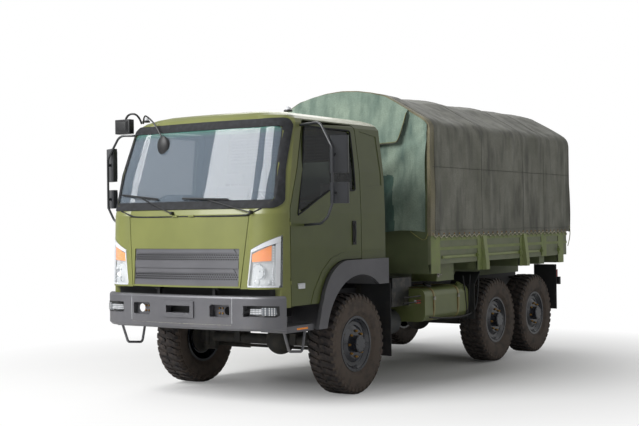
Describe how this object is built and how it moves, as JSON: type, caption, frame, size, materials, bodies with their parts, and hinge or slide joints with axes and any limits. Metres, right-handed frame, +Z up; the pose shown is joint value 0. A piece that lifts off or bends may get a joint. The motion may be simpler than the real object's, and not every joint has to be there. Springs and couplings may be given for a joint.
{
  "type": "military cargo truck",
  "caption": "Three-axle cargo truck with a tilting forward cab, a drop-side bed under a canvas cover, steered front wheels, doors, front flap and tailgate.",
  "frame": {"origin": "on the ground, under the middle of the truck's length and width", "axes": "+X forward, +Y to the truck's left, +Z up"},
  "size_m": [7.552, 3.2906, 3.4876],
  "materials": {
    "olive_paint": "satin olive paint, dusty",
    "grey_moulding": "gunmetal grey satin",
    "black_paint": "matt black chassis paint",
    "cast_metal": "rough casting",
    "canvas": "weathered canvas",
    "clear_glass": "clear, green top band",
    "lamp_lens": "clear lens over reflectors",
    "red_lens": "red moulded lens",
    "tyre_rubber": "block tread, dusty side walls",
    "rim_black": "satin black"
  },
  "bodies": {
    "chassis": {"frame_rails": "black_paint", "crossmembers": "black_paint", "power_unit": "cast_metal", "drive_shafts": "black_paint", "front_axle": "black_paint", "rear_axles": "black_paint", "leaf_springs": "black_paint", "bumper": "grey_moulding", "entry_steps": "grey_moulding", "fuel_tank": "olive_paint", "side_boxes": "olive_paint", "air_tanks": "black_paint", "exhaust": "black_paint", "mudguards": "black_paint", "tail_lamps": "red_lens", "spare_wheel": "tyre_rubber", "spare_carrier": "olive_paint", "bed_floor": "olive_paint", "side_boards": "olive_paint", "headboard": "olive_paint", "cover_bows": "olive_paint", "cover": "canvas", "curtains": "canvas"},
    "cab": {"cab_floor": "olive_paint", "cab_back": "olive_paint", "cab_roof": "olive_paint", "cab_side_left": "olive_paint", "cab_side_right": "olive_paint", "cab_front": "olive_paint", "windshield": "clear_glass", "rear_window": "clear_glass", "headlamps": "lamp_lens", "dashboard": "black_paint", "seats": "canvas", "wheel_arches": "grey_moulding"},
    "left_door": {"door_left": "olive_paint", "door_glass_left": "clear_glass", "mirrors_left": "black_paint"},
    "right_door": {"door_right": "olive_paint", "door_glass_right": "clear_glass", "mirrors_right": "black_paint"},
    "flap": {"front_flap": "olive_paint", "grille": "grey_moulding"},
    "left_knuckle": {"knuckle_left": "black_paint"},
    "right_knuckle": {"knuckle_right": "black_paint"},
    "track_rod": {"tie_rod": "black_paint"},
    "rear_gate": {"tailgate": "olive_paint"},
    "front_left_wheel": {"tyre_front_left": "tyre_rubber", "wheel_front_left": "rim_black"},
    "front_right_wheel": {"tyre_front_right": "tyre_rubber", "wheel_front_right": "rim_black"},
    "middle_left_wheel": {"tyre_middle_left": "tyre_rubber", "wheel_middle_left": "rim_black"},
    "middle_right_wheel": {"tyre_middle_right": "tyre_rubber", "wheel_middle_right": "rim_black"},
    "rear_left_wheel": {"tyre_rear_left": "tyre_rubber", "wheel_rear_left": "rim_black"},
    "rear_right_wheel": {"tyre_rear_right": "tyre_rubber", "wheel_rear_right": "rim_black"}
  },
  "joints": [
    {"name": "cab_tilt", "type": "hinge", "parent": "chassis", "child": "cab", "pos_m": [3.61, 0, 1.2], "axis": [0, 1, 0], "range_deg": [0, 45]},
    {"name": "left_door_hinge", "type": "hinge", "parent": "cab", "child": "left_door", "pos_m": [3.37, 1.15, 1.9], "axis": [0, 0, -1], "range_deg": [0, 70]},
    {"name": "right_door_hinge", "type": "hinge", "parent": "cab", "child": "right_door", "pos_m": [3.37, -1.15, 1.9], "axis": [0, 0, 1], "range_deg": [0, 70]},
    {"name": "flap_hinge", "type": "hinge", "parent": "cab", "child": "flap", "pos_m": [3.659, 0, 1.937], "axis": [0, -1, 0], "range_deg": [0, 70]},
    {"name": "tailgate_hinge", "type": "hinge", "parent": "chassis", "child": "rear_gate", "pos_m": [-3.656, 0, 1.367], "axis": [0, -1, 0], "range_deg": [0, 90]},
    {"name": "steer_left", "type": "hinge", "parent": "chassis", "child": "left_knuckle", "pos_m": [2.21, 0.88, 0.545], "axis": [0, 0, 1], "range_deg": [-30, 30]},
    {"name": "steer_right", "type": "hinge", "parent": "chassis", "child": "right_knuckle", "pos_m": [2.21, -0.88, 0.545], "axis": [0, 0, 1], "range_deg": [-30, 30]},
    {"name": "track_rod_pin", "type": "hinge", "parent": "left_knuckle", "child": "track_rod", "pos_m": [1.98, 0.88, 0.46], "axis": [0, 0, 1], "range_deg": [-30, 30]},
    {"name": "front_left_roll", "type": "hinge", "parent": "left_knuckle", "child": "front_left_wheel", "pos_m": [2.21, 1.055, 0.545], "axis": [0, 1, 0], "continuous": true},
    {"name": "front_right_roll", "type": "hinge", "parent": "right_knuckle", "child": "front_right_wheel", "pos_m": [2.21, -1.055, 0.545], "axis": [0, 1, 0], "continuous": true},
    {"name": "middle_left_roll", "type": "hinge", "parent": "chassis", "child": "middle_left_wheel", "pos_m": [-1.265, 1.055, 0.545], "axis": [0, 1, 0], "continuous": true},
    {"name": "middle_right_roll", "type": "hinge", "parent": "chassis", "child": "middle_right_wheel", "pos_m": [-1.265, -1.055, 0.545], "axis": [0, 1, 0], "continuous": true},
    {"name": "rear_left_roll", "type": "hinge", "parent": "chassis", "child": "rear_left_wheel", "pos_m": [-2.515, 1.055, 0.545], "axis": [0, 1, 0], "continuous": true},
    {"name": "rear_right_roll", "type": "hinge", "parent": "chassis", "child": "rear_right_wheel", "pos_m": [-2.515, -1.055, 0.545], "axis": [0, 1, 0], "continuous": true}
  ],
  "couplings": [
    {"joint": "steer_right", "follows": "steer_left", "ratio": 1},
    {"joint": "track_rod_pin", "follows": "steer_left", "ratio": -1}
  ]
}
